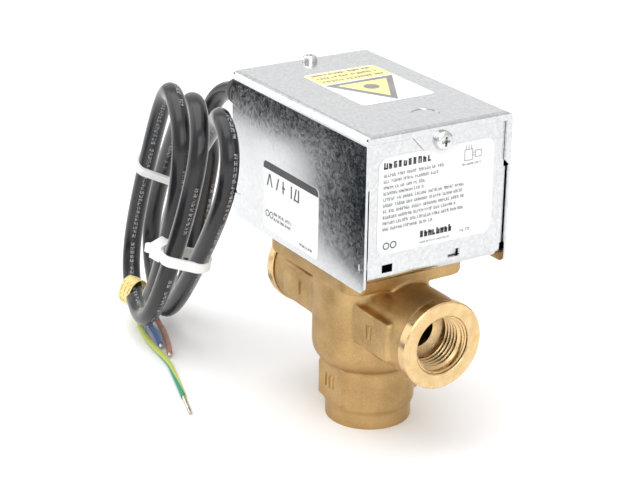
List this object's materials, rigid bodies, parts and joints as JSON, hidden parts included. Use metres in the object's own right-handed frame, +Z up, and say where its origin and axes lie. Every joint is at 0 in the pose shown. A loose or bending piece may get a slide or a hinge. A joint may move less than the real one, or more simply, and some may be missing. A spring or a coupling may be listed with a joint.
{
  "type": "three-port zone valve",
  "caption": "Motorised three-port zone valve: cast brass T body with threaded ports, ball on a paddle, sheet-metal motor head and a mains lead tied in a hank.",
  "frame": {"origin": "centre of the lower port's mouth, which is its end face", "axes": "+Z up along the lower port's axis, +X along the cross pipe towards port B, the cable leaves on the -X side"},
  "size_m": [0.1882, 0.0928, 0.1307],
  "materials": {
    "cast_brass": "sand-cast, bead-blasted, machined at the port faces",
    "dark_brass": "dull brown, as pressed",
    "turned_brass": "turned, bright",
    "rubber": "matt black",
    "bright_steel": "zinc plated",
    "galvanised_sheet": "galvanised, fine spangle",
    "gear_nylon": "natural moulded nylon",
    "motor_case": "moulded, satin",
    "motor_steel": "zinc plated can",
    "white_pvc": "insulation",
    "clear_nylon": "natural nylon cap",
    "brown_pvc": "insulation",
    "blue_pvc": "insulation",
    "green_pvc": "green and yellow insulation",
    "tinned_copper": "tinned strands",
    "label_paper": "white film label",
    "black_nylon": "moulded nylon",
    "black_pvc": "smooth sheath with a satin sheen",
    "white_nylon": "moulded nylon",
    "yellow_tape": "printed wrap"
  },
  "bodies": {
    "valve": {"valve_body": "cast_brass", "bonnet_plate": "dark_brass", "bonnet_seal": "rubber", "bonnet_screws": "bright_steel", "stem_bush": "turned_brass", "stem_seals": "rubber", "return_spring": "bright_steel", "spring_anchor": "bright_steel", "chassis": "galvanised_sheet", "head_screws": "bright_steel", "motor_pillars": "bright_steel", "motor_plate": "galvanised_sheet", "plate_screws": "bright_steel", "motor_gearcase": "motor_case", "motor_can": "motor_steel", "motor_screws": "bright_steel", "motor_leads": "white_pvc", "splice_caps": "clear_nylon", "wire_brown": "brown_pvc", "wire_blue": "blue_pvc", "wire_earth": "green_pvc", "earth_ring": "tinned_copper", "earth_screw": "turned_brass", "label_front": "label_paper", "cable_gland": "black_nylon", "mains_lead": "black_pvc", "lead_hank": "black_pvc", "tie_upper": "white_nylon", "tie_lower": "white_nylon", "wire_tag": "yellow_tape", "core_earth": "green_pvc", "core_blue": "blue_pvc", "core_brown": "brown_pvc", "core_ends": "tinned_copper"},
    "stem": {"stem": "bright_steel", "stem_clip": "bright_steel", "paddle_arm": "bright_steel", "paddle_ball": "rubber", "sector_gear": "gear_nylon"},
    "pinion": {"drive_pinion": "gear_nylon"},
    "cover": {"cover": "galvanised_sheet", "cover_screws": "bright_steel", "label_side": "label_paper", "label_top": "label_paper"}
  },
  "joints": [
    {"name": "stem_turn", "type": "hinge", "parent": "valve", "child": "stem", "pos_m": [0, 0.012, 0.06], "axis": [0, 0, 1], "range_deg": [0, 60], "stiffness_Nm_per_rad": 0.04, "springref_deg": -20.05, "deforming": ["return_spring"]},
    {"name": "pinion_turn", "type": "hinge", "parent": "valve", "child": "pinion", "pos_m": [-0.01851, -0.01006, 0.08], "axis": [0, 0, 1], "range_deg": [-300, 0]},
    {"name": "cover_lift", "type": "slide", "parent": "valve", "child": "cover", "axis": [0, 0, 1], "range_m": [0, 0.08]}
  ],
  "couplings": [
    {"joint": "pinion_turn", "follows": "stem_turn", "ratio": -5}
  ]
}
